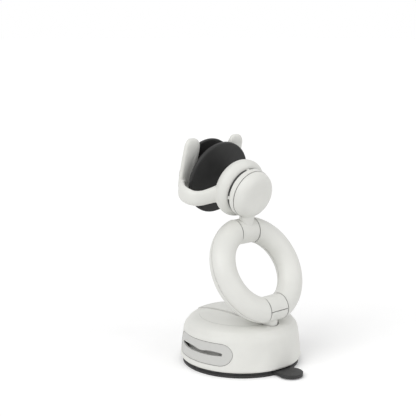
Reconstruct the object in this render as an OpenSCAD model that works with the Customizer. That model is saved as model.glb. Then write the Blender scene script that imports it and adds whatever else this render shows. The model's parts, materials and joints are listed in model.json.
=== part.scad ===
// Car and desk mount: a suction base with a locking lever, a ring-shaped arm that hinges at both
// ends, and a swivelling cradle that holds a collapsible grip by its neck.
// Millimetres. +Z is up, the suction face lies on Z = 0, and +Y points to the back of the mount.

/* [Suction cup] */
// Radius of the rubber cup at the surface that it sticks to
cup_r = 31.2; // [30:0.1:31.8]
// Height of the thin lip around the cup
cup_lip_h = 1.2; // [0.8:0.1:1.6]
// Thickness of the cup at its rim
cup_h = 3; // [2.6:0.1:3.4]
// Rise of the hollow underside at the middle of the cup
cup_hollow = 1.2; // [0.8:0.1:1.4]
// Radius of the boss that grips the pull rod
cup_boss_r = 7; // [6.4:0.1:7.6]
// Width of the pull tab
tab_w = 13; // [11:0.5:16]
// Width of the tab's neck
tab_neck = 12; // [8:0.5:12.5]
// Distance from the middle of the base to the end of the pull tab
tab_reach = 43.5; // [40:0.5:50]
// Thickness of the pull tab
tab_t = 1.7; // [1.4:0.1:2]
// Height of the pull tab's underside, so that a finger gets below it
tab_low = 0.7; // [0.4:0.1:1]

/* [Base shell] */
// Radius of the shell at its lower edge
base_r = 32.45; // [32:0.05:34]
// Lean of the side wall, in degrees
side_draft = 6.1; // [4:0.1:8]
// Radius of the rounded shoulder
shoulder_r = 8.7; // [7:0.1:10]
// Height of the top of the dome
dome_z = 27.3; // [26.8:0.1:28.2]
// Radius of curvature of the top
dome_r = 120; // [90:1:200]
// Wall of the shell
shell_wall = 2.2; // [1.8:0.1:2.6]
// Thickness of the base plate
plate_t = 2.6; // [2.4:0.1:3]
// Depth of the shallow hollow round the shoulder
hollow_d = 0.15; // [0.1:0.05:0.5]

/* [Lever] */
// Width of the lever
lever_w = 15.4; // [14:0.1:16.5]
// Reach of the lever in front of its pivot
lever_reach = 26; // [24:0.5:27]
// Height that the lever stands proud of the dome
lever_proud = 0.5; // [0:0.1:0.8]
// Thickness of the lever's top
lever_t = 2.6; // [2:0.1:3]
// Height of the lever's pivot when it is locked
pivot_z = 19.5; // [19:0.1:20.2]
// Opening angle of the lever, in degrees
lever_swing = 75; // [60:1:80]
// Travel of the pull rod as the lever opens
rod_travel = 1.8; // [1.2:0.1:2]
// Radius of the pull rod
rod_r = 2.5; // [2.2:0.1:2.8]
// Radius of the cross pin
pin_r = 1.25; // [1:0.05:1.4]

/* [Cord keepers] */
// Half length of a keeper along the wall
keeper_half = 19.5; // [16:0.5:21]
// Height of a keeper's lower edge
keeper_low = 6.2; // [6:0.1:7]
// Height of a keeper's upper edge
keeper_high = 17.4; // [16.5:0.1:18]
// Depth of a keeper into the base
keeper_depth = 5.6; // [5:0.1:6]
// Height of the slit between the two lips
slit_h = 2.6; // [2:0.1:3.2]

/* [Ring arm] */
// Radius of the ring's centre line
ring_r = 22.45; // [22:0.05:24]
// Radius of the ring's tube
tube_r = 6.74; // [6.4:0.02:7]
// Wall of the two half shells
ring_wall = 1.7; // [1.4:0.1:2]
// Half width of the knuckles between the ring's ends
knuckle_half = 6.2; // [5.8:0.1:6.6]
// Forward lean of the ring from upright, in degrees
ring_lean = 29.4; // [20:0.2:35]
// Distance of the lower hinge behind the middle of the base
hinge_y = 22.5; // [22:0.1:23]
// Height of the lower hinge
hinge_z = 33.1; // [33:0.1:35]
// Distance that the shells' joint line sits further forward on the inside of the ring
seam_slant = 1.3; // [0:0.1:3]

/* [Head] */
// Backward tilt of the head, in degrees
head_tilt = 15; // [5:0.5:25]
// Height of the swivel axis above the upper hinge
head_rise = 21.4; // [21:0.1:23]
// Distance of the upper hinge behind the grip's outer face
head_reach = 24.5; // [24.2:0.1:25]
// Radius of the collar in front of the head's housing
collar_r = 12.95; // [12.6:0.05:13.4]
// Length of the collar along the swivel axis
collar_len = 3.5; // [3.2:0.05:4.2]
// Step from the collar down to the housing
housing_step = 0.25; // [0:0.05:0.4]
// Length of the housing along the swivel axis
housing_len = 5.05; // [4.5:0.05:5.5]
// Radius of the spindle that the cradle turns on
spindle_r = 5; // [4.5:0.1:5.5]
// Radius of the neck between knuckle and housing
neck_r = 3.9; // [3.4:0.1:4.4]

/* [Cradle] */
// Outer radius of the cradle's boss
boss_r = 15.7; // [15.2:0.1:16]
// Roundness of the boss, as the radius of its rim
boss_round = 4.4; // [4.2:0.1:4.6]
// Half width of the slot between the two prongs
slot_half = 10.1; // [9.8:0.1:11]
// Outer half width of the prongs
prong_out = 21; // [20:0.1:22]
// Height of the prong tips above the swivel axis
prong_top = 19.7; // [17:0.1:22]
// Thickness of the prongs
prong_t = 3.6; // [3:0.1:3.8]
// Half width of the cradle across its arms
arm_out = 25.4; // [24.5:0.1:27]
// Half thickness of an arm
arm_ht = 1.9; // [1.5:0.1:2.3]
// Half height of an arm
arm_hh = 4.2; // [3.5:0.1:5]
// Drop of the arms below the swivel axis
arm_drop = 7; // [6:0.1:8]

/* [Grip] */
// Radius of the grip's outer disc
grip_r = 20; // [19:0.1:21]
// Thickness of the outer disc
grip_t = 2; // [1.6:0.1:2.4]
// Radius of the grip's platform
platform_r = 18.2; // [17:0.1:19]
// Thickness of the platform
platform_t = 1.4; // [1.2:0.1:1.6]
// Thickness of the adhesive pad
pad_t = 0.6; // [0.4:0.1:0.8]
// Distance between the grip's outer face and the back of its platform
grip_depth = 12.5; // [12.3:0.1:13]
// Distance that the grip hangs below the swivel axis
grip_drop = 0.8; // [0:0.1:1.2]
// Number of folds in the grip's stem
folds = 3; // [2:1:4]

/* [Hardware] */
// Thread radius of the hinge bolts
bolt_r = 1.5; // [1.2:0.1:1.6]
// Head radius of the hinge bolts
bolt_head_r = 3.1; // [2.8:0.1:3.2]
// Outer radius of the hinge sleeves
sleeve_r = 2.75; // [2.4:0.05:2.9]
// Thread radius of the case screws
screw_r = 1.3; // [1:0.1:1.5]
// Thread radius of the small screws in the ring
small_screw_r = 1; // [0.8:0.1:1.2]
// Radial clearance of a shaft that turns in its hole
run = 0.05; // [0.02:0.01:0.1]
// Gap between neighbouring pieces that don't touch
gap = 0.3; // [0.2:0.05:0.4]
// Gap between pieces that are fastened together
seat = 0.05; // [0:0.01:0.1]
// Gap between a knuckle and the ring's ends
knuckle_gap = 0.5; // [0.3:0.05:0.7]
// Gap round the lever
lever_gap = 0.7; // [0.4:0.05:0.9]
// Gap round the cord keepers
keeper_gap = 0.2; // [0.1:0.05:0.4]
// Gap between the lower knuckle and its cap
split_gap = 0.35; // [0.2:0.05:0.5]

/* [Hidden] */
$fn = 96;
// Larger than any piece, for blocks that cut away one side
far = 200;
// Small overshoot of a cut past a face
eps = 0.01;

// Suction cup
seal_w = 4;
rim_in = cup_r - seal_w;
cup_rim_r = cup_r - 0.6;
rod_head_r = rod_r + 1.7;
rod_head_t = 1.6;
pocket_low = cup_hollow + 1.3;
pocket_high = pocket_low + rod_travel + rod_head_t + 3 * seat + 0.2;
cup_boss_z = pocket_high + 1.4;

// Base shell and plate
shell_z = cup_h + seat;
edge_round = 0.8;
plate_z = cup_h + seat;
plate_top = plate_z + plate_t;
plate_r = base_r - shell_wall - 0.55;
side_dir = [-sin(side_draft), cos(side_draft)];
side_normal = [cos(side_draft), sin(side_draft)];
dome_c = [0, dome_z - dome_r];
shoulder_start = [base_r, shell_z] - shoulder_r * side_normal;
shoulder_lift = shoulder_start - dome_c;
shoulder_along = shoulder_lift * side_dir;
shoulder_run = sqrt(shoulder_along ^ 2 - shoulder_lift * shoulder_lift + (dome_r - shoulder_r) ^ 2)
    - shoulder_along;
shoulder_c = shoulder_start + shoulder_run * side_dir;
side_top = [base_r, shell_z] + shoulder_run * side_dir;
post_inset = 7.7;
post_ring = plate_r - post_inset;
post_r = screw_r + 1.9;
screw_head_r = screw_r + 1;
screw_head_t = 1.4;
screw_sink = 0.1;
post_screw_len = 9;
// The hollow's own radius across, and its angle above the shoulder's widest point
hollow_r = 16;
hollow_turn = 40;
hollow_c = shoulder_c + (shoulder_r + hollow_r - hollow_d) * [cos(hollow_turn), sin(hollow_turn)];

// Lever, cam and pull rod
tower_r = cup_boss_r + 0.4 + 1.8;
tower_bore = cup_boss_r + 0.4;
spring_wire = 0.4;
spring_turns = 2;
spring_len = 3.4;
spring_r = rod_r + 1.6 + spring_wire;
spring_high = cup_boss_z + spring_len;
tower_z = spring_high + 0.8;
cam_plate_t = 0.6;
cam_z = 15;
cam_lock = pivot_z - cam_z - seat;
cheek_in = rod_r + gap;
cheek_out = lever_w / 2 - 1.1;
cheek_len = lever_reach - 7;
seat_w = 2 * cheek_out + 0.6;
seat_l = 8;
tail_y = 6;
tail_r = norm([tail_y, dome_z - pivot_z]);
channel_half = lever_w / 2 + lever_gap;
channel_wall = 1.5;
channel_floor = 16;
finger_r = 6;
finger_at = [-lever_reach - 3.5, dome_z - 1.3];
finger_half = 6.5;

// Keepers
keeper_r = base_r - 0.35;
keeper_mid = (keeper_low + keeper_high) / 2;
keeper_hh = (keeper_high - keeper_low) / 2;
lip_t = 1.6;
keeper_back = 1.5;
slit_z = keeper_mid + 0.3;

// Hinges
half_gap = sqrt(ring_r ^ 2 - knuckle_half ^ 2);
ring_end = knuckle_half + knuckle_gap / 2;
knuckle_w = 2 * (knuckle_half - knuckle_gap / 2);
bulkhead = ring_end + 2.25;
washer_r = tube_r - 1.6;
washer_sink = 0.5;
sleeve_wall = sleeve_r - bolt_r - run;
bolt_head_t = 1.8;
nut_t = 2.2;
foot_w = 10;
foot_len = 6.4;
foot_back = hinge_y + 3;
foot_screw_x = 2.4;
foot_screw_y = hinge_y - 0.8;
peg_off = 4.5;
peg_r = 0.9;
peg_len = 2;
ring_screw_angle = 35;
ring_screw_head_r = small_screw_r + 0.9;
ring_screw_sink = 2.3;
ring_screw_head_t = 1.4;
ring_screw_len = 7;
groove_r = 0.35;
// Radius from the ring's middle at which the joint line meets the inside of the tube
seam_in = ring_r - sqrt(tube_r ^ 2 - seam_slant ^ 2);

// Head, as distances along the swivel axis from the grip's outer face
boss_back = head_reach - 4;
boss_len = 2 * boss_round;
head_gap = 1.1;
collar_front = boss_back + head_gap;
collar_back = collar_front + collar_len;
housing_r = collar_r - housing_step;
neck_y = head_reach + 0.7;
housing_front = collar_back + gap;
collar_round = 1;
housing_round = 5.2;
housing_wall = 1.8;
collar_floor = 2;
housing_skirt = collar_len - collar_floor;
spindle_tip = boss_back - boss_len + 0.7;
hub_front = spindle_tip + 0.8;
hub_pocket_r = 8.6;
swivel_head_wide = 1.7;
swivel_head_r = screw_r + swivel_head_wide;
washer_t = 1.1;
swivel_washer_r = 7.4;
swivel_head_t = 1.8;
swivel_screw_len = 8;
detent_start = 80;
detent_step = 90;
detent_end = detent_start + 3 * detent_step;
detent_inset = 0.55;
detent_r = collar_r - detent_inset;
detent_key_w = 1.7;
detent_key_h = 1.2;

// Grip, along the same axis
platform_front = -grip_depth + platform_t;
stem_r = slot_half - gap;
stem_taper = 3.4;
stem_top_r = stem_r - stem_taper;
fold_deep = 2.2;
grip_edge = 0.9;

// Cradle
prong_mid = platform_front + gap + prong_t / 2;
prong_round = prong_t / 2;
prong_flare = 9;
arm_mid = 2.6;
arm_back_r = 8;
arm_back_turn = 75;
arm_front_r = 12;
arm_front_turn = 75;
arm_leg = 10;

// Colours of the pieces
off_white = [0.84, 0.84, 0.81];
keeper_grey = [0.77, 0.77, 0.75];
rubber_black = [0.13, 0.13, 0.13];
grip_black = [0.16, 0.16, 0.16];
steel = [0.72, 0.73, 0.75];

// A solid of revolution about the swivel axis, from a profile in radius and distance along it
module spin() { rotate([-90, 0, 0]) rotate_extrude() children(); }
// The hinge foot's frame: X along the lower hinge axis
module at_hinge() { translate([0, hinge_y, hinge_z]) children(); }
// The ring's frame: origin on the lower hinge axis, +Z along the ring's own plane
module at_ring() { at_hinge() rotate([ring_lean, 0, 0]) children(); }
// The upper hinge's frame, without the ring's lean
module at_upper() { at_ring() translate([0, 0, 2 * half_gap]) rotate([-ring_lean, 0, 0]) children(); }
// The head's frame: origin on the swivel axis in the plane of the grip's outer face
module at_head() {
    at_upper() rotate([-head_tilt, 0, 0]) translate([0, -head_reach, head_rise]) children();
}
// A cylinder along X, centred on the axis
module along_x(r, w) { rotate([0, 90, 0]) cylinder(r = r, h = w, center = true); }
// A cylinder along X between two distances from the mid-plane
module x_rod(r, x0, x1, sides = 48) {
    translate([x0, 0, 0]) rotate([0, 90, 0]) cylinder(r = r, h = x1 - x0, $fn = sides);
}
// Both mirror images of a piece on the +X side
module both_sides() {
    children();
    mirror([1, 0, 0]) children();
}

// Outline of the base, in radius and height, moved inwards by a wall thickness
module base_outline(inset) {
    intersection() {
        union() {
            polygon([
                [0, shell_z],
                [base_r - edge_round / 2 - inset, shell_z],
                [base_r - inset, shell_z + edge_round],
                side_top - [inset, 0],
                [shoulder_c[0], side_top[1]],
                [0, dome_z]
            ]);
            translate(shoulder_c) circle(r = shoulder_r - inset);
            square([shoulder_c[0], dome_z - inset]);
        }
        translate(dome_c) circle(r = dome_r - inset, $fn = 720);
        translate([0, shell_z]) square([far, far]);
    }
}
module base_body(inset) { rotate_extrude() base_outline(inset); }

module suction_cup() {
    color(rubber_black)
    difference() {
        union() {
            rotate_extrude() polygon([
                [0, cup_hollow], [cup_r / 3, cup_hollow], [rim_in, 0], [cup_r, 0],
                [cup_r, cup_lip_h], [cup_rim_r, cup_lip_h + 0.3], [cup_rim_r, cup_h], [0, cup_h]
            ]);
            cylinder(r = cup_boss_r, h = cup_boss_z);
            intersection() {
                translate([0, 0, tab_low]) linear_extrude(tab_t) {
                    translate([-tab_neck / 2, 0]) square([tab_neck, tab_reach - tab_w / 2]);
                    translate([0, tab_reach - tab_w / 2]) circle(d = tab_w);
                }
                difference() {
                    cylinder(r = far, h = far);
                    translate([0, 0, -far / 2]) cylinder(r = rim_in, h = far);
                }
            }
        }
        translate([0, 0, -eps]) rotate_extrude() polygon([
            [0, 0], [rim_in, 0], [cup_r / 3, cup_hollow], [0, cup_hollow]
        ]);
        translate([0, 0, pocket_low])
            cylinder(r = rod_head_r + 0.2, h = pocket_high - pocket_low);
        translate([0, 0, pocket_high - eps]) cylinder(r = rod_r + 0.1, h = cup_boss_z);
    }
}

// Posts or holes at the places of the four case screws
module at_posts() {
    for (a = [45 : 90 : 315])
        rotate(a) translate([post_ring, 0, 0]) children();
}

module base_plate() {
    color(off_white)
    difference() {
        union() {
            translate([0, 0, plate_z]) cylinder(r = plate_r, h = plate_t);
            translate([0, 0, plate_z]) cylinder(r = tower_r, h = tower_z - plate_z);
            translate([-seat_w / 2, -seat_l / 2, spring_high])
                cube([seat_w, seat_l, cam_z - cam_plate_t - seat - spring_high]);
        }
        translate([0, 0, -eps]) cylinder(r = tower_bore, h = spring_high + eps);
        cylinder(r = rod_r + run, h = far);
        at_posts() {
            cylinder(r = screw_r + 0.15, h = far);
            translate([0, 0, plate_z - eps]) cylinder(r = screw_head_r + 0.2, h = screw_head_t + 0.2);
        }
        both_sides() translate([foot_screw_x, foot_screw_y, 0]) {
            cylinder(r = screw_r + 0.15, h = far);
            translate([0, 0, plate_z - eps]) cylinder(r = screw_head_r + 0.2, h = screw_head_t + 0.2);
        }
    }
}

// Box of the lever's channel and the round pocket behind its tail, widened by a wall
module channel(wall) {
    half = channel_half + wall;
    translate([-half, -lever_reach - lever_gap - wall, channel_floor])
        cube([2 * half, lever_reach + lever_gap + wall, far]);
    intersection() {
        translate([0, 0, pivot_z]) along_x(tail_r + lever_gap + wall, 2 * half);
        translate([-half, -eps, channel_floor]) cube([2 * half, far, far]);
    }
}

// Hollow below the front of the lever, for a fingertip
module finger_pocket(wall) {
    translate([0, finger_at[0], finger_at[1]]) along_x(finger_r + wall, 2 * (finger_half + wall));
}

// Outline of a keeper seen along X, grown by a clearance
module keeper_outline(grow) {
    reach = keeper_half - keeper_hh;
    rotate([90, 0, 90]) linear_extrude(far) {
        translate([-reach, keeper_mid - keeper_hh - grow]) square([2 * reach, 2 * (keeper_hh + grow)]);
        for (s = [-1, 1])
            translate([s * reach, keeper_mid]) circle(r = keeper_hh + grow);
    }
}

// Shallow hollow that runs round the shoulder of the dome
module shoulder_hollow() { rotate_extrude() translate(hollow_c) circle(r = hollow_r); }

// Column of the hinge foot, flat in front and round behind, grown by a clearance
module foot_column(grow, h) {
    r = foot_w / 2 + grow;
    linear_extrude(h) {
        translate([0, foot_back - foot_w / 2]) circle(r = r);
        translate([-r, foot_back - foot_len - grow]) square([2 * r, foot_len - foot_w / 2 + grow]);
    }
}

module base_shell() {
    color(off_white)
    difference() {
        union() {
            difference() {
                base_body(0);
                translate([0, 0, -eps]) base_body(shell_wall);
            }
            intersection() {
                base_body(shell_wall / 2);
                union() {
                    difference() {
                        channel(channel_wall);
                        channel(0);
                    }
                    finger_pocket(channel_wall);
                    translate([0, 0, plate_top + seat]) at_posts() cylinder(r = post_r, h = far);
                }
            }
        }
        channel(0);
        finger_pocket(0);
        translate([0, 0, plate_top - eps]) at_posts() cylinder(r = screw_r, h = post_screw_len);
        translate([0, 0, dome_z / 2]) foot_column(knuckle_gap, far);
        both_sides() intersection() {
            keeper_outline(keeper_gap);
            difference() {
                cylinder(r = far, h = far);
                cylinder(r = keeper_r - keeper_depth - seat, h = far);
            }
        }
        shoulder_hollow();
    }
}

module base_screws() {
    color(steel)
    at_posts() {
        translate([0, 0, plate_z + screw_sink]) cylinder(r = screw_head_r, h = screw_head_t);
        translate([0, 0, plate_z + screw_sink + screw_head_t - eps])
            cylinder(r = screw_r - seat, h = post_screw_len - 1);
    }
}

// Slit between the lips: upper edge with a bump in the middle, lower edge bowed, seen along X
module keeper_slit() {
    reach = keeper_half - keeper_hh + 1;
    step = reach / 12;
    upper = [for (y = [-reach : step : reach + eps])
        [y, slit_z + slit_h / 2 - 0.9 * exp(-((y - 2.5) / 4) ^ 2) - 0.8 * (y / reach) ^ 4]];
    lower = [for (y = [reach : -step : -reach - eps])
        [y, slit_z - slit_h / 2 + 0.5 * (y / reach) ^ 4]];
    rotate([90, 0, 90]) linear_extrude(far) polygon(concat(upper, lower));
}

module cord_keeper() {
    color(keeper_grey)
    difference() {
        intersection() {
            keeper_outline(0);
            difference() {
                base_body(0.1);
                cylinder(r = keeper_r - keeper_depth, h = far);
            }
        }
        intersection() {
            rotate_extrude()
                translate([keeper_r - keeper_depth + keeper_back, keeper_low + 1.5])
                square([keeper_depth - keeper_back - lip_t, keeper_high - keeper_low - 3]);
            translate([0, -keeper_half + 3, 0]) cube([far, 2 * keeper_half - 6, far]);
        }
        difference() {
            keeper_slit();
            cylinder(r = keeper_r - lip_t - 1, h = far);
        }
    }
}
module cord_keeper_right() { cord_keeper(); }
module cord_keeper_left() { mirror([1, 0, 0]) cord_keeper(); }

// Points of one ring of a swept round wire
function ring_points(c, out, up, r, n) = [for (j = [0 : n - 1])
    c + r * cos(360 * j / n) * out + r * sin(360 * j / n) * up];
// Triangles that join rings of points into a closed tube
function tube_faces(rings, n) = concat(
    [[for (j = [0 : n - 1]) j]],
    [for (i = [0 : rings - 2]) for (j = [0 : n - 1])
        let (k = (j + 1) % n, a = i * n + j, b = a + n, c = (i + 1) * n + k, d = i * n + k)
        each [[a, b, c], [a, c, d]]],
    [[for (j = [n - 1 : -1 : 0]) (rings - 1) * n + j]]
);

module cup_spring() {
    low = cup_boss_z + seat + spring_wire;
    high = spring_high - seat - spring_wire;
    steps = 16 * spring_turns;
    sides = 6;
    points = [for (i = [0 : steps]) let (a = 360 * i / 16)
        each ring_points(
            [spring_r * cos(a), spring_r * sin(a), low + (high - low) * i / steps],
            [cos(a), sin(a), 0], [0, 0, 1], spring_wire, sides)];
    color(steel) polyhedron(points, tube_faces(steps + 1, sides), convexity = 8);
}

module cam_plate() {
    color(steel)
    difference() {
        translate([-seat_w / 2, -seat_l / 2, cam_z - cam_plate_t]) cube([seat_w, seat_l, cam_plate_t]);
        cylinder(r = rod_r + 0.3, h = far);
    }
}

module pull_rod() {
    head_z = pocket_high - seat - rod_head_t;
    color(steel)
    difference() {
        union() {
            translate([0, 0, head_z]) cylinder(r = rod_head_r, h = rod_head_t);
            translate([0, 0, head_z]) cylinder(r = rod_r, h = pivot_z - head_z);
            translate([0, 0, pivot_z]) sphere(r = rod_r);
        }
        translate([0, 0, pivot_z]) along_x(pin_r + seat, far);
    }
}

module cross_pin() {
    color(steel) translate([0, 0, pivot_z]) along_x(pin_r, 2 * cheek_out);
}

// Point of the cam that looks down when the lever stands at an angle: its distance from the pin
// falls evenly by the rod's travel as the lever opens
cam_slope = rod_travel / (lever_swing * PI / 180);
function cam_reach(a) = cam_lock - rod_travel * a / lever_swing;
function cam_point(a) = cam_reach(a) * [sin(a), -cos(a)] - cam_slope * [cos(a), sin(a)];

// The cam's side view, in depth and height from the pin
module cam_outline() {
    polygon(concat(
        [for (a = [-40 : 5 : 110]) cam_point(a)],
        [[1.6, 4.5], [-4, 5], [-cam_lock, 1]]
    ));
}

module lever() {
    color(off_white)
    difference() {
        union() {
            intersection() {
                difference() {
                    base_body(-lever_proud);
                    base_body(lever_t);
                }
                translate([-lever_w / 2, -lever_reach, pivot_z])
                    cube([lever_w, lever_reach + tail_y + 1, far]);
                union() {
                    translate([-far / 2, -far, 0]) cube([far, far, far]);
                    translate([0, 0, pivot_z]) along_x(tail_r, far);
                }
            }
            both_sides() {
                intersection() {
                    base_body(lever_t / 2);
                    translate([cheek_out - 0.5, -lever_reach + 2.5, pivot_z + 1])
                        cube([lever_w / 2 - cheek_out + 0.5, cheek_len, far]);
                }
                translate([cheek_in, 0, pivot_z])
                    rotate([90, 0, 90]) linear_extrude(cheek_out - cheek_in) cam_outline();
                intersection() {
                    base_body(lever_t / 2);
                    translate([cheek_in, -4, pivot_z + 4]) cube([cheek_out - cheek_in, 5.6, far]);
                }
            }
        }
        translate([0, 0, pivot_z]) along_x(pin_r + run, far);
    }
}

// Pegs of the knuckle's cap, or their holes when grown by a clearance
module cap_pegs(grow) {
    for (s = [-1, 1])
        translate([0, s * peg_off, -peg_len - grow]) cylinder(r = peg_r + grow, h = peg_len + 1);
}

module hinge_foot() {
    color(off_white)
    difference() {
        union() {
            at_hinge() intersection() {
                along_x(tube_r, knuckle_w);
                translate([-far / 2, -far / 2, -far]) cube([far, far, far]);
            }
            translate([0, 0, plate_top + seat]) foot_column(0, hinge_z - tube_r / 2 - plate_top - seat);
        }
        at_hinge() {
            translate([-far / 2, -far / 2, 0]) cube([far, far, far]);
            along_x(sleeve_r + run, far);
            cap_pegs(seat);
        }
        both_sides() translate([foot_screw_x, foot_screw_y, plate_top])
            cylinder(r = screw_r, h = post_screw_len);
    }
}

module foot_screws() {
    color(steel)
    both_sides() translate([foot_screw_x, foot_screw_y, plate_z + screw_sink]) {
        cylinder(r = screw_head_r, h = screw_head_t);
        translate([0, 0, screw_head_t - eps]) cylinder(r = screw_r - seat, h = post_screw_len - 1);
    }
}

module knuckle_cap() {
    color(off_white)
    at_hinge() difference() {
        union() {
            difference() {
                along_x(tube_r, knuckle_w);
                translate([-far / 2, -far / 2, split_gap - far]) cube([far, far, far]);
            }
            cap_pegs(0);
        }
        along_x(sleeve_r + run, far);
    }
}

// The ring's tube as a full torus in the ring's own frame, with its axis along Y
module torus(r) {
    translate([0, 0, half_gap]) rotate([-90, 0, 0]) rotate_extrude() translate([ring_r, 0]) circle(r = r);
}
// What lies in front of the joint between the two half shells, as a solid of revolution
module front_side() {
    r_in = ring_r - tube_r - 1;
    r_out = ring_r + tube_r + 1;
    slope = seam_slant / (ring_r + tube_r - seam_in);
    translate([0, 0, half_gap]) rotate([-90, 0, 0]) rotate_extrude()
        polygon([
            [r_in, -tube_r - 1], [r_out, -tube_r - 1],
            [r_out, slope], [r_in, -slope * (2 * tube_r + 1)]
        ]);
}
module seam_grooves() {
    translate([0, 0, half_gap]) rotate([-90, 0, 0]) rotate_extrude() {
        translate([ring_r + tube_r, 0]) circle(r = groove_r, $fn = 16);
        translate([seam_in, -seam_slant]) circle(r = groove_r, $fn = 16);
    }
}
// Places of the two screws in the +X half of the ring, with the screw's axis along +Y
module at_ring_screws() {
    for (s = [-1, 1])
        translate([ring_r * cos(ring_screw_angle), 0, half_gap + s * ring_r * sin(ring_screw_angle)])
            rotate([-90, 0, 0]) children();
}

// The +X half of the ring before it is split into its front and rear shells
module ring_half() {
    difference() {
        intersection() {
            difference() {
                torus(tube_r);
                difference() {
                    torus(tube_r - ring_wall);
                    translate([bulkhead - far, -far / 2, -far / 2]) cube([far, far, far]);
                    at_ring_screws() cylinder(r = ring_screw_head_r + 0.7, h = far, center = true);
                }
            }
            translate([ring_end, -far / 2, -far / 2]) cube([far, far, far]);
        }
        for (z = [0, 2 * half_gap]) translate([0, 0, z]) {
            x_rod(sleeve_r + seat, 0, bulkhead + eps);
            x_rod(washer_r + 0.1, 0, ring_end + washer_sink);
            x_rod(bolt_head_r + 0.1, bulkhead, bulkhead + nut_t + 0.4);
        }
        at_ring_screws() {
            translate([0, 0, -far])
                cylinder(r = ring_screw_head_r + 0.2, h = far - tube_r + ring_screw_sink);
            translate([0, 0, -tube_r])
                cylinder(r = small_screw_r, h = ring_screw_len + ring_screw_sink + 0.4);
        }
        seam_grooves();
    }
}
module ring_front() { intersection() { ring_half(); front_side(); } }
module ring_rear() { difference() { ring_half(); front_side(); } }

module right_ring_front_shell() { color(off_white) at_ring() ring_front(); }
module right_ring_rear_shell() { color(off_white) at_ring() ring_rear(); }
module left_ring_front_shell() { color(off_white) at_ring() mirror([1, 0, 0]) ring_front(); }
module left_ring_rear_shell() { color(off_white) at_ring() mirror([1, 0, 0]) ring_rear(); }

module ring_screws() {
    color(steel)
    at_ring() both_sides() at_ring_screws() {
        translate([0, 0, ring_screw_sink - tube_r - ring_screw_head_t])
            cylinder(r = ring_screw_head_r, h = ring_screw_head_t - seat);
        translate([0, 0, ring_screw_sink - tube_r - ring_screw_head_t / 2])
            cylinder(r = small_screw_r - seat, h = ring_screw_len);
    }
}

// Places of the lower and the upper hinge in the ring's frame
module at_hinges() {
    at_ring() for (z = [0, 2 * half_gap])
        translate([0, 0, z]) children();
}
module hinge_sleeves() {
    color(steel)
    at_hinges() difference() {
        along_x(sleeve_r, 2 * bulkhead - 0.2);
        along_x(sleeve_r - sleeve_wall, far);
    }
}
module hinge_bolts() {
    color(steel)
    at_hinges() {
        x_rod(bolt_head_r, bulkhead, bulkhead + bolt_head_t);
        x_rod(bolt_r, -bulkhead - nut_t, bulkhead + eps);
    }
}
module hinge_nuts() {
    color(steel)
    at_hinges() difference() {
        x_rod(bolt_head_r, -bulkhead - nut_t, -bulkhead, 6);
        along_x(bolt_r, far);
    }
}
module friction_washers() {
    color(steel)
    at_hinges() both_sides() difference() {
        x_rod(washer_r, knuckle_w / 2 + seat, ring_end + washer_sink - seat);
        along_x(sleeve_r + 0.05, far);
    }
}

// The neck: a round column that runs from the knuckle up into the housing's underside
module neck() {
    translate([0, neck_y, -head_rise]) cylinder(r = neck_r, h = head_rise - collar_r + housing_round);
}

// Half section of the housing, round along its rear edge, with a skirt that fits into the collar
module housing_outline() {
    flat_r = housing_r - housing_round;
    translate([0, housing_front]) square([flat_r, housing_len]);
    intersection() {
        translate([flat_r, housing_front + housing_len - housing_round]) circle(r = housing_round);
        translate([0, housing_front]) square([far, far]);
    }
    translate([0, housing_front - housing_skirt])
        square([housing_r - housing_wall - 0.1, housing_skirt + 1]);
}

// Housing, neck and knuckle are one moulding; the neck is cut away under the collar
module head_housing() {
    color(off_white)
    at_head() difference() {
        union() {
            translate([0, head_reach, -head_rise]) along_x(tube_r, knuckle_w);
            difference() {
                neck();
                spin() square([collar_r + seat, housing_front]);
            }
            spin() housing_outline();
        }
        translate([0, head_reach, -head_rise]) along_x(sleeve_r + run, far);
        spin() square([housing_r - 2 * housing_wall, housing_front + housing_len - housing_wall]);
    }
}

// Half section of the collar, round along its front edge
module collar_outline() {
    flat_r = collar_r - collar_round;
    translate([0, collar_round]) square([collar_r, collar_len - collar_round]);
    square([flat_r, collar_len]);
    translate([flat_r, collar_round]) circle(r = collar_round);
}

module swivel_collar() {
    color(off_white)
    at_head() difference() {
        union() {
            spin() {
                translate([0, collar_front]) collar_outline();
                translate([0, spindle_tip]) square([spindle_r, collar_front - spindle_tip + eps]);
            }
            for (a = [detent_start : detent_step : detent_end])
                rotate([0, -a, 0]) translate([detent_r - detent_key_h, boss_back + 0.12, -detent_key_w / 2])
                    cube([detent_key_h + 0.15, head_gap, detent_key_w]);
        }
        spin() {
            translate([0, collar_front + collar_floor]) square([housing_r - housing_wall, far]);
            square([screw_r, collar_front + 1]);
        }
    }
}

module detent_ring() {
    color(rubber_black)
    at_head() difference() {
        spin() translate([spindle_r + 0.1, boss_back + seat])
            square([detent_r - spindle_r - 0.1, collar_front - boss_back - 2 * seat]);
        for (a = [detent_start : detent_step : detent_end])
            rotate([0, -a, 0])
                translate([detent_r - detent_key_h - 0.1, boss_back - head_gap, -detent_key_w / 2 - 0.1])
                cube([far, 3 * head_gap, detent_key_w + 0.2]);
    }
}

module swivel_screw() {
    color(steel)
    at_head() spin() {
        translate([0, spindle_tip - washer_t - swivel_head_t]) square([swivel_head_r, swivel_head_t - seat]);
        translate([0, spindle_tip - washer_t - swivel_head_t / 2])
            square([screw_r - seat, swivel_screw_len + swivel_head_t / 2]);
    }
}
module swivel_washer() {
    color(steel)
    at_head() spin() translate([screw_r + 0.05, spindle_tip - washer_t])
        square([swivel_washer_r - screw_r - 0.05, washer_t - seat]);
}
module wave_washer() {
    color(steel)
    at_head() spin() translate([spindle_r + 0.15, spindle_tip + seat])
        square([swivel_washer_r - spindle_r - 0.2, hub_front - spindle_tip - 2 * seat]);
}

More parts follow.
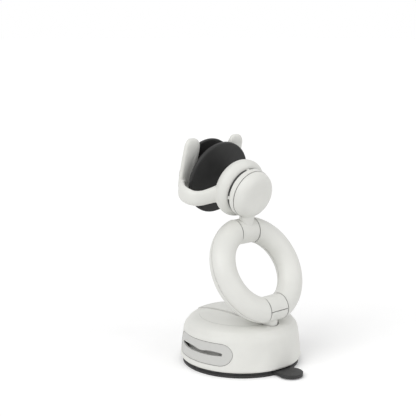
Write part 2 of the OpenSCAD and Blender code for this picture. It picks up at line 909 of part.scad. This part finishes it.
// Section of an arm: a flat band with round edges, seen along the arm
module arm_section() {
    for (s = [-1, 1])
        translate([0, s * (arm_hh - arm_ht)]) circle(r = arm_ht, $fn = 32);
    square([2 * arm_ht, 2 * (arm_hh - arm_ht)], center = true);
}
// Core that joins two lengths of an arm end to end, along Y
module arm_core() {
    rotate([90, 0, 0]) cylinder(r = arm_ht * 0.6, h = 2, center = true);
}
// One bend of the arm about an upright line that stands at a half width and depth
module arm_bend(x, y, r, start, turn) {
    translate([x, y, 0]) rotate([0, 0, start]) rotate_extrude(angle = turn) translate([r, 0]) arm_section();
}
// The +X arm: a straight leg out of the boss, a tight bend at the back and a wide one to the prong
module arm() {
    back_x = arm_out - arm_back_r;
    front_x = arm_out - arm_front_r;
    translate([0, 0, -arm_drop]) {
        translate([back_x, arm_mid, 0]) rotate([0, 0, arm_back_turn]) translate([arm_back_r, 0, 0]) {
            rotate([-90, 0, 0]) linear_extrude(arm_leg) arm_section();
            arm_core();
        }
        translate([arm_out, arm_mid, 0]) arm_core();
        arm_bend(back_x, arm_mid, arm_back_r, 0, arm_back_turn);
        arm_bend(front_x, arm_mid, arm_front_r, -arm_front_turn, arm_front_turn);
    }
}

// The +X prong: round along both edges, with a round tip that leads the grip's stem in
module prong() {
    tip_r = (prong_out - slot_half) / 2 - 2;
    tip_x = (slot_half + prong_out) / 2 + 0.5;
    intersection() {
        translate([0, prong_mid, -far / 2]) linear_extrude(far) {
            for (x = [slot_half + prong_round, prong_out - prong_round])
                translate([x, 0]) circle(r = prong_round);
            translate([slot_half + prong_round, -prong_round])
                square([prong_out - slot_half - prong_t, prong_t]);
        }
        rotate([90, 0, 0]) linear_extrude(far, center = true) {
            translate([tip_x, prong_top - tip_r]) circle(r = tip_r);
            polygon([
                [slot_half, 1], [slot_half, prong_top - 7], [tip_x - tip_r + 0.1, prong_top - tip_r + 0.8],
                [tip_x + tip_r - 0.1, prong_top - tip_r + 0.8], [prong_out, prong_top - prong_flare],
                [prong_out, -arm_drop], [prong_out - 2.5, -arm_drop - 3.5], [prong_out - 5, -arm_drop - 3.5]
            ]);
        }
    }
}

module cradle() {
    color(off_white)
    at_head() difference() {
        union() {
            spin() {
                translate([boss_r - boss_round, boss_back - boss_round]) circle(r = boss_round);
                translate([0, boss_back - boss_len]) square([boss_r - boss_round, boss_len]);
            }
            both_sides() {
                arm();
                prong();
            }
        }
        spin() {
            translate([0, -far]) square([hub_pocket_r, far + hub_front]);
            square([spindle_r + run, far]);
        }
    }
}

module at_grip() { at_head() translate([0, 0, -grip_drop]) children(); }

module grip_disc() {
    color(grip_black)
    at_grip() spin() {
        translate([0, -grip_t]) square([grip_r - grip_edge, grip_t]);
        translate([0, -grip_t]) square([grip_r, grip_t - grip_edge]);
        translate([grip_r - grip_edge, -grip_edge]) circle(r = grip_edge);
    }
}

module grip_stem() {
    low = platform_front + seat;
    high = -grip_t - seat;
    pitch = (high - low) / folds;
    edge = [for (i = [0 : folds - 1])
        let (wide = stem_r - (stem_r - stem_top_r) * i / folds, start = low + pitch * i)
        each [
            [wide, start],
            [wide, start + 0.35 * pitch],
            [wide - fold_deep, start + 0.75 * pitch],
            [wide - fold_deep, start + pitch]
        ]];
    color(rubber_black)
    at_grip() spin() polygon(concat([[0, low]], edge, [[0, high]]));
}

module grip_platform() {
    color(grip_black)
    at_grip() spin() {
        translate([0, -grip_depth]) square([platform_r, platform_t / 2]);
        translate([0, -grip_depth]) square([platform_r - platform_t / 2, platform_t]);
        translate([platform_r - platform_t / 2, -grip_depth + platform_t / 2]) circle(r = platform_t / 2);
    }
}

module grip_pad() {
    color(rubber_black)
    at_grip() spin() translate([0, -grip_depth - pad_t]) square([platform_r - 1, pad_t - seat / 2]);
}

suction_cup();
base_plate();
base_shell();
base_screws();
cord_keeper_right();
cord_keeper_left();
cup_spring();
cam_plate();
pull_rod();
cross_pin();
lever();
hinge_foot();
foot_screws();
knuckle_cap();
right_ring_front_shell();
right_ring_rear_shell();
left_ring_front_shell();
left_ring_rear_shell();
ring_screws();
hinge_sleeves();
hinge_bolts();
hinge_nuts();
friction_washers();
head_housing();
swivel_collar();
detent_ring();
swivel_screw();
swivel_washer();
wave_washer();
cradle();
grip_disc();
grip_stem();
grip_platform();
grip_pad();
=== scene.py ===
"""Looks of the car and desk mount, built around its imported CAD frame. All lengths are in metres."""

import json
import math

import bmesh
import bpy
from mathutils import Matrix, Vector


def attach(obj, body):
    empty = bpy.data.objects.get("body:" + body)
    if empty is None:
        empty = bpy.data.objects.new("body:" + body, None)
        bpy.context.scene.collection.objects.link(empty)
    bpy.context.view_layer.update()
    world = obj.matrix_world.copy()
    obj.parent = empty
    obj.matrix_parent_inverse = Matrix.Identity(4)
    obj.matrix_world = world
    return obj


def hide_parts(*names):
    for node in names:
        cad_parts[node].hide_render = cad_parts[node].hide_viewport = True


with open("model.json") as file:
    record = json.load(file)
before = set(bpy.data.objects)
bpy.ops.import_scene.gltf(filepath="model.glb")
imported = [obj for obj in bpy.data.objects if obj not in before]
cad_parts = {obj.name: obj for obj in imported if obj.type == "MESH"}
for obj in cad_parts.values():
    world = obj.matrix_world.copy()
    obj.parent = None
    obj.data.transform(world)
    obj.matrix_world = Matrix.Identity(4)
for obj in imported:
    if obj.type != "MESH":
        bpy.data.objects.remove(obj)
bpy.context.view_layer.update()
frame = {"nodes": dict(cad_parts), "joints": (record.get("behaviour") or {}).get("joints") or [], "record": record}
nodes = frame["nodes"]
MM = 0.001

# Camera: the photograph's viewing angle
CAMERA_AT = Vector((337.58, 349.03, 172.75)) * MM
CAMERA_AZIMUTH = math.radians(138.04)
CAMERA_ELEVATION = math.radians(10.5)
CAMERA_LENS = 81.0

# Reach of the painted shade in a gap, and how far closed a place is where it sets in and where it ends
PAINTED_SHADE_REACH = 0.0009
PAINTED_SHADE_RANGE = (0.2, 0.75)
# How dark the painted shade gets in the deepest gap, as a share of the colour
PAINTED_SHADE_DEPTH = 0.35
# Radius of the soft edges on plastic and rubber
EDGE_RADIUS = 0.00025
# Fineness and height of a moulding's grain, and fineness of its cloudy tone and of its uneven gloss
GRAIN_SCALE = 4200.0
GRAIN_HEIGHT = 0.00005
CLOUD_SCALE = 90.0
GLOSS_SCALE = 270.0
# How far a moulding's roughness strays to either side
ROUGH_SWING = 0.06
# Brushed streaks on steel: fineness, tone of the darkest, and how far the roughness drops and rises
STREAK_SCALE = 1800.0
STREAK_TONE = 0.9
STREAK_DROP = 0.08
STREAK_RISE = 0.1

# Studio: light from all around, size of the floor, and how much lighter the floor looks to the camera
AMBIENT = 0.55
FLOOR_SIZE = 60.0
FLOOR_LIFT = 0.12
# Faint speckle of the floor: fineness, and tone of its darkest places
SPECKLE_SCALE = 40.0
SPECKLE_TONE = 0.985
# Each light's name, azimuth, elevation, strength, and width in the sky, with angles in degrees
LIGHTS = [
    ("key", 95, 40, 1.05, 40),
    ("fill", 190, 25, 0.4, 40),
    ("top", 150, 75, 0.35, 60),
]


def make_camera():
    """A camera that looks down at the back of the mount from the right."""
    a, e = CAMERA_AZIMUTH, CAMERA_ELEVATION
    back = Vector((math.sin(a) * math.cos(e), -math.cos(a) * math.cos(e), math.sin(e)))
    right = Vector((math.cos(a), math.sin(a), 0))
    up = back.cross(right)
    data = bpy.data.cameras.new("camera")
    data.lens = CAMERA_LENS
    data.clip_start = 0.01
    camera = bpy.data.objects.new("camera", data)
    bpy.context.scene.collection.objects.link(camera)
    turn = Matrix((right, up, back)).transposed().to_4x4()
    camera.matrix_world = Matrix.Translation(CAMERA_AT) @ turn
    bpy.context.scene.camera = camera


def new_material(name):
    """An empty node material, with its node tree and its shader."""
    material = bpy.data.materials.new(name)
    material.use_nodes = True
    tree = material.node_tree
    shader = tree.nodes["Principled BSDF"]
    return material, tree, shader


def noise(tree, scale, detail=3.0):
    """A noise texture that stays with the piece it is on."""
    place = tree.nodes.new("ShaderNodeTexCoord")
    texture = tree.nodes.new("ShaderNodeTexNoise")
    texture.inputs["Scale"].default_value = scale
    texture.inputs["Detail"].default_value = detail
    tree.links.new(place.outputs["Object"], texture.inputs["Vector"])
    return texture


def ramp(tree, source, low, high, start=0.35, end=0.65):
    """Turns a grey value into a colour between two others."""
    node = tree.nodes.new("ShaderNodeValToRGB")
    node.color_ramp.elements[0].position = start
    node.color_ramp.elements[1].position = end
    node.color_ramp.elements[0].color = (*low, 1)
    node.color_ramp.elements[1].color = (*high, 1)
    tree.links.new(source, node.inputs["Fac"])
    return node.outputs["Color"]


def spread(tree, source, low, high):
    """Maps a value from 0..1 to low..high."""
    node = tree.nodes.new("ShaderNodeMapRange")
    node.inputs["To Min"].default_value = low
    node.inputs["To Max"].default_value = high
    tree.links.new(source, node.inputs["Value"])
    return node.outputs["Result"]


def paint_gap_shade(tree, colour):
    """Paints shade into a colour in narrow gaps and seams, darker where less light reaches."""
    occlusion = tree.nodes.new("ShaderNodeAmbientOcclusion")
    occlusion.inputs["Distance"].default_value = PAINTED_SHADE_REACH
    shade = ramp(tree, occlusion.outputs["AO"], (PAINTED_SHADE_DEPTH,) * 3, (1, 1, 1), *PAINTED_SHADE_RANGE)
    mix = tree.nodes.new("ShaderNodeMix")
    mix.data_type = "RGBA"
    mix.blend_type = "MULTIPLY"
    mix.inputs["Factor"].default_value = 1.0
    tree.links.new(colour, mix.inputs["A"])
    tree.links.new(shade, mix.inputs["B"])
    return mix.outputs["Result"]


def moulded(name, colour, rough, bump=0.02, mottle=0.02, gloss=0.5):
    """Moulded plastic or rubber: a faint mottle, a fine grain, painted shade in gaps, an uneven gloss and soft
    edges.
    """
    material, tree, shader = new_material(name)
    shader.inputs["Specular IOR Level"].default_value = gloss
    cloudy = noise(tree, CLOUD_SCALE)
    darker = tuple(c * (1 - mottle) for c in colour)
    lighter = tuple(min(1, c * (1 + mottle)) for c in colour)
    plain = ramp(tree, cloudy.outputs["Fac"], darker, lighter)
    # The mottled colour, with shade painted into its gaps and seams
    tree.links.new(paint_gap_shade(tree, plain), shader.inputs["Base Color"])
    fine = noise(tree, GRAIN_SCALE, 2.0)
    patchy = noise(tree, GLOSS_SCALE)
    uneven = spread(tree, patchy.outputs["Fac"], rough - ROUGH_SWING, rough + ROUGH_SWING)
    tree.links.new(uneven, shader.inputs["Roughness"])
    height = tree.nodes.new("ShaderNodeBump")
    height.inputs["Strength"].default_value = bump
    height.inputs["Distance"].default_value = GRAIN_HEIGHT
    edges = tree.nodes.new("ShaderNodeBevel")
    edges.inputs["Radius"].default_value = EDGE_RADIUS
    tree.links.new(edges.outputs["Normal"], height.inputs["Normal"])
    tree.links.new(fine.outputs["Fac"], height.inputs["Height"])
    tree.links.new(height.outputs["Normal"], shader.inputs["Normal"])
    return material


def plated(name, colour, rough):
    """Plain plated steel with fine brushed streaks."""
    material, tree, shader = new_material(name)
    shader.inputs["Metallic"].default_value = 1.0
    streaks = noise(tree, STREAK_SCALE)
    darker = tuple(c * STREAK_TONE for c in colour)
    tree.links.new(ramp(tree, streaks.outputs["Fac"], darker, colour), shader.inputs["Base Color"])
    uneven = spread(tree, streaks.outputs["Fac"], rough - STREAK_DROP, rough + STREAK_RISE)
    tree.links.new(uneven, shader.inputs["Roughness"])
    return material


WHITE = moulded("off_white_plastic", (0.735, 0.735, 0.700), 0.45)
KEEPER = moulded("keeper_plastic", (0.575, 0.575, 0.555), 0.5)
GRIP = moulded("grip_plastic", (0.019, 0.019, 0.019), 0.5, bump=0.1, mottle=0.15, gloss=0.35)
RUBBER = moulded("cup_rubber", (0.022, 0.022, 0.022), 0.55, bump=0.15, mottle=0.2)
STEEL = plated("plated_steel", (0.62, 0.63, 0.64), 0.32)
SLOT_MATERIAL = {
    "white_plastic": WHITE,
    "grey_plastic": KEEPER,
    "black_plastic": GRIP,
    "black_rubber": RUBBER,
    "steel": STEEL,
}


def dress_cad_nodes():
    """Gives each CAD node the material of its slot in the record."""
    for part in frame["record"]["subparts"]:
        mesh = nodes[part["node"]].data
        mesh.materials.clear()
        mesh.materials.append(SLOT_MATERIAL[part["material_slot"]])


def head_matrix():
    """From the head's own millimetres to the row frame: x sideways, y back along the swivel axis, z up."""
    joint = next(j for j in frame["joints"] if j["name"] == "cradle_turn")
    along = Vector(joint["axis"])
    across = Vector((1, 0, 0))
    turn = Matrix((across, along, across.cross(along))).transposed().to_4x4()
    return Matrix.Translation(Vector(joint["pos_m"])) @ turn @ Matrix.Scale(MM, 4)


def between(a, b, c, d, t):
    """A value on the way from b to c that leaves and arrives in step with a and d."""
    bend = 2 * a - 5 * b + 4 * c - d
    twist = 3 * b - a - 3 * c + d
    return 0.5 * (2 * b + (c - a) * t + bend * t ** 2 + twist * t ** 3)


def smooth_curve(stations):
    """A smooth run through given stations, each a tuple of numbers."""
    run = []
    last = len(stations) - 1
    for i in range(last):
        p0, p1, p2, p3 = (stations[min(max(i + k, 0), last)] for k in (-1, 0, 1, 2))
        for step in range(CURVE_STEPS):
            t = step / CURVE_STEPS
            run.append(tuple(between(a, b, c, d, t) for a, b, c, d in zip(p0, p1, p2, p3)))
    run.append(tuple(stations[-1]))
    return run


def arc(centre, radius, start, end, steps=8):
    """Points of an arc between two angles in degrees."""
    points = []
    for k in range(steps + 1):
        a = math.radians(start + (end - start) * k / steps)
        points.append((centre[0] + radius * math.cos(a), centre[1] + radius * math.sin(a)))
    return points


def oval(half_wide, half_high, power, sides=32):
    """Outline of a rounded bar: an ellipse at power 2, squarer above."""
    points = []
    for k in range(sides):
        c, s = math.cos(2 * math.pi * k / sides), math.sin(2 * math.pi * k / sides)
        points.append((half_wide * math.copysign(abs(c) ** (2 / power), c),
                       half_high * math.copysign(abs(s) ** (2 / power), s)))
    return points


def tube(rings, closed=False):
    """Vertices and faces of the skin over a row of rings, capped at both ends unless it closes on itself."""
    n = len(rings[0])
    vertices = [v for ring in rings for v in ring]
    faces = []
    for i in range(len(rings) if closed else len(rings) - 1):
        a, b = i * n, (i + 1) % len(rings) * n
        for j in range(n):
            k = (j + 1) % n
            faces.append((a + j, a + k, b + k, b + j))
    if not closed:
        faces.append(tuple(reversed(range(n))))
        faces.append(tuple(range((len(rings) - 1) * n, len(rings) * n)))
    return vertices, faces


def lathe(profile, sides=128):
    """A ring-shaped solid about the swivel axis, from a closed profile of radius and distance along it."""
    rings = []
    for k in range(sides):
        a = 2 * math.pi * k / sides
        rings.append([(r * math.cos(a), y, r * math.sin(a)) for r, y in profile])
    return tube(rings, closed=True)


def fused(name, shells, place, voxel, smoothing):
    """One skin around overlapping closed shells, with soft fillets where they meet."""
    vertices = []
    faces = []
    for shell_vertices, shell_faces in shells:
        base = len(vertices)
        vertices += shell_vertices
        faces += [tuple(base + i for i in face) for face in shell_faces]
    mesh = bpy.data.meshes.new(name)
    mesh.from_pydata(vertices, [], faces)
    work = bmesh.new()
    work.from_mesh(mesh)
    bmesh.ops.recalc_face_normals(work, faces=work.faces)
    work.to_mesh(mesh)
    work.free()
    piece = bpy.data.objects.new(name, mesh)
    bpy.context.scene.collection.objects.link(piece)
    remesh = piece.modifiers.new("remesh", "REMESH")
    remesh.mode = "VOXEL"
    remesh.voxel_size = voxel
    soften = piece.modifiers.new("soften", "SMOOTH")
    soften.iterations = smoothing
    skin = bpy.data.meshes.new_from_object(piece.evaluated_get(bpy.context.evaluated_depsgraph_get()))
    piece.modifiers.clear()
    piece.data = skin
    skin.transform(place)
    for polygon in skin.polygons:
        polygon.use_smooth = True
    return piece


# Cradle, in millimetres of the head's frame. The boss's profile is in radius and distance back
BOSS_BACK = 20.45
BOSS_BACK_ROUND = 4.4
BOSS_BACK_FLAT = 11.3
BOSS_FRONT_ROUND = 3.9
BOSS_FRONT_AT = (11.6, 15.5)
BOSS_LIP = (9.6, 11.7)
BOSS_BORE = 5.5
BOSS_POCKET = 8.6
POCKET_FLOOR = 13.3
POCKET_MOUTH = 12.2
# Place of the prongs' middle along the swivel axis
PRONG_Y = -9.0
# How squared the sections of arm, blade and rib are
ARM_POWER = 2.2
BLADE_POWER = 4.0
RIB_POWER = 2.2
# Steps from one station of a curve to the next
CURVE_STEPS = 6
# Size of the grid that the cradle's shells are fused on, and rounds of smoothing afterwards
FUSE_GRID = 0.35
FUSE_SMOOTHING = 8


def boss_shell():
    """The cradle's boss: a fat rounded ring with a pocket in front and a bore through it."""
    profile = [(BOSS_BORE, POCKET_FLOOR), (BOSS_POCKET, POCKET_FLOOR), (BOSS_POCKET, POCKET_MOUTH), BOSS_LIP]
    profile += arc(BOSS_FRONT_AT, BOSS_FRONT_ROUND, -100, -20)
    profile += arc((BOSS_BACK_FLAT, BOSS_BACK - BOSS_BACK_ROUND), BOSS_BACK_ROUND, 0, 80)
    profile += [(BOSS_BACK_FLAT, BOSS_BACK), (BOSS_BORE, BOSS_BACK)]
    return lathe(profile)


def arm_shell(side):
    """One arm: it leaves the boss, swings wide round the grip's disc and comes in under the prong."""
    # x, y, z, thickness towards the outside and the inside of the bend, half height
    stations = [
        (8.5, 15.6, -1.0, 3.4, 3.4, 6.0),
        (12.4, 13.3, -2.7, 2.9, 2.9, 5.0),
        (16.5, 11.1, -4.8, 2.6, 2.2, 4.5),
        (20.2, 9.2, -6.3, 2.45, 1.5, 4.3),
        (22.9, 6.6, -7.0, 2.4, 1.0, 4.2),
        (24.1, 3.0, -7.0, 2.4, 0.8, 4.3),
        (23.5, -0.8, -7.0, 2.35, 0.8, 4.3),
        (21.5, -4.3, -7.0, 2.25, 0.9, 4.3),
        (18.6, -7.1, -7.0, 2.1, 1.2, 4.2),
        (15.3, -8.7, -6.8, 1.9, 1.6, 4.0),
        (12.4, -9.1, -6.6, 1.6, 1.6, 3.7),
    ]
    run = smooth_curve(stations)
    rings = []
    for i, (x, y, z, outside, inside, high) in enumerate(run):
        before, after = run[max(i - 1, 0)], run[min(i + 1, len(run) - 1)]
        ahead = Vector((after[0] - before[0], after[1] - before[1])).normalized()
        band = [(u * (inside if u > 0 else outside), v) for u, v in oval(1, high, ARM_POWER)]
        rings.append([(side * (x + ahead.y * u), y - ahead.x * u, z + v) for u, v in band])
    return tube(rings)


def upright_shell(side, stations, power):
    """An upright bar from stations of z, inner x, outer x, y and half thickness."""
    rings = []
    for z, inner, outer, y, thick in smooth_curve(stations):
        middle, half = (inner + outer) / 2, (outer - inner) / 2
        rings.append([(side * (middle + u), y + v, z) for u, v in oval(half, thick, power)])
    return tube(rings)


def prong_shells(side):
    """One prong: a flat blade with a round tip, and a low rib along its inner edge."""
    # z, inner x, outer x, y, half thickness
    blade = [
        (-10.2, 14.5, 18.0, PRONG_Y + 0.3, 1.1),
        (-9.2, 13.0, 19.2, PRONG_Y + 0.2, 1.5),
        (-7.0, 11.8, 20.2, PRONG_Y + 0.1, 1.6),
        (-2.0, 10.9, 20.6, PRONG_Y, 1.6),
        (3.0, 10.5, 20.7, PRONG_Y, 1.6),
        (9.0, 10.5, 20.7, PRONG_Y, 1.6),
        (13.5, 10.6, 20.6, PRONG_Y, 1.6),
        (16.0, 10.9, 20.4, PRONG_Y - 0.05, 1.6),
        (17.6, 11.6, 19.8, PRONG_Y - 0.2, 1.5),
        (18.8, 12.6, 18.9, PRONG_Y - 0.4, 1.3),
        (19.5, 13.8, 17.7, PRONG_Y - 0.6, 1.0),
    ]
    rib = [
        (-2.0, 12.0, 15.2, PRONG_Y + 0.1, 1.2),
        (1.0, 11.1, 15.4, PRONG_Y + 0.5, 1.4),
        (8.0, 10.9, 15.2, PRONG_Y + 0.5, 1.4),
        (12.0, 11.2, 15.2, PRONG_Y + 0.35, 1.3),
        (15.0, 12.2, 15.6, PRONG_Y - 0.2, 1.2),
    ]
    return [upright_shell(side, blade, BLADE_POWER), upright_shell(side, rib, RIB_POWER)]


def make_cradle():
    """The cradle as one moulding with soft fillets."""
    shells = [boss_shell()]
    for side in (1, -1):
        shells.append(arm_shell(side))
        shells += prong_shells(side)
    piece = fused("cradle_moulding", shells, head_matrix(), FUSE_GRID, FUSE_SMOOTHING)
    piece.data.materials.append(WHITE)
    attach(piece, "cradle")
    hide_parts("cradle")


def light_paths(tree, outputs):
    """1 for camera rays and the other named kinds of ray, else 0."""
    path = tree.nodes.new("ShaderNodeLightPath")
    total = path.outputs["Is Camera Ray"]
    for name in outputs:
        node = tree.nodes.new("ShaderNodeMath")
        node.operation = "MAXIMUM"
        tree.links.new(total, node.inputs[0])
        tree.links.new(path.outputs[name], node.inputs[1])
        total = node.outputs[0]
    return total


def make_world():
    """A white backdrop to the eye and in reflections, and a softer level of light on the object."""
    world = bpy.data.worlds.new("studio")
    bpy.context.scene.world = world
    world.use_nodes = True
    tree = world.node_tree
    seen = light_paths(tree, ["Is Glossy Ray", "Is Transmission Ray"])
    tree.links.new(spread(tree, seen, AMBIENT, 1.0), tree.nodes["Background"].inputs["Strength"])
    tree.nodes["Background"].inputs["Color"].default_value = (1, 1, 1, 1)


def make_floor():
    """A plain white floor that keeps the object's shadow and looks a little lighter to the camera."""
    data = bpy.data.meshes.new("floor")
    s = FLOOR_SIZE / 2
    data.from_pydata([(-s, -s, 0), (s, -s, 0), (s, s, 0), (-s, s, 0)], [], [(0, 1, 2, 3)])
    floor = bpy.data.objects.new("floor", data)
    bpy.context.scene.collection.objects.link(floor)
    material, tree, shader = new_material("floor_paint")
    shader.inputs["Roughness"].default_value = 0.9
    shader.inputs["Specular IOR Level"].default_value = 0.0
    speckle = noise(tree, SPECKLE_SCALE)
    tree.links.new(ramp(tree, speckle.outputs["Fac"], (SPECKLE_TONE,) * 3, (1, 1, 1)),
                   shader.inputs["Base Color"])
    shader.inputs["Emission Color"].default_value = (1, 1, 1, 1)
    seen = light_paths(tree, ["Is Glossy Ray", "Is Transmission Ray"])
    tree.links.new(spread(tree, seen, 0.0, FLOOR_LIFT), shader.inputs["Emission Strength"])
    data.materials.append(material)


def soft_light(name, azimuth, elevation, strength, width):
    """A far, soft light, as wide in the sky as the given angle in degrees."""
    data = bpy.data.lights.new(name, "SUN")
    data.energy = strength
    data.angle = math.radians(width)
    light = bpy.data.objects.new(name, data)
    bpy.context.scene.collection.objects.link(light)
    a, e = math.radians(azimuth), math.radians(elevation)
    away = Vector((math.sin(a) * math.cos(e), -math.cos(a) * math.cos(e), math.sin(e)))
    light.rotation_euler = away.to_track_quat("Z", "Y").to_euler()


make_camera()
make_world()
make_floor()
for light in LIGHTS:
    soft_light(*light)
dress_cad_nodes()
make_cradle()
bpy.context.scene.view_settings.view_transform = "Standard"
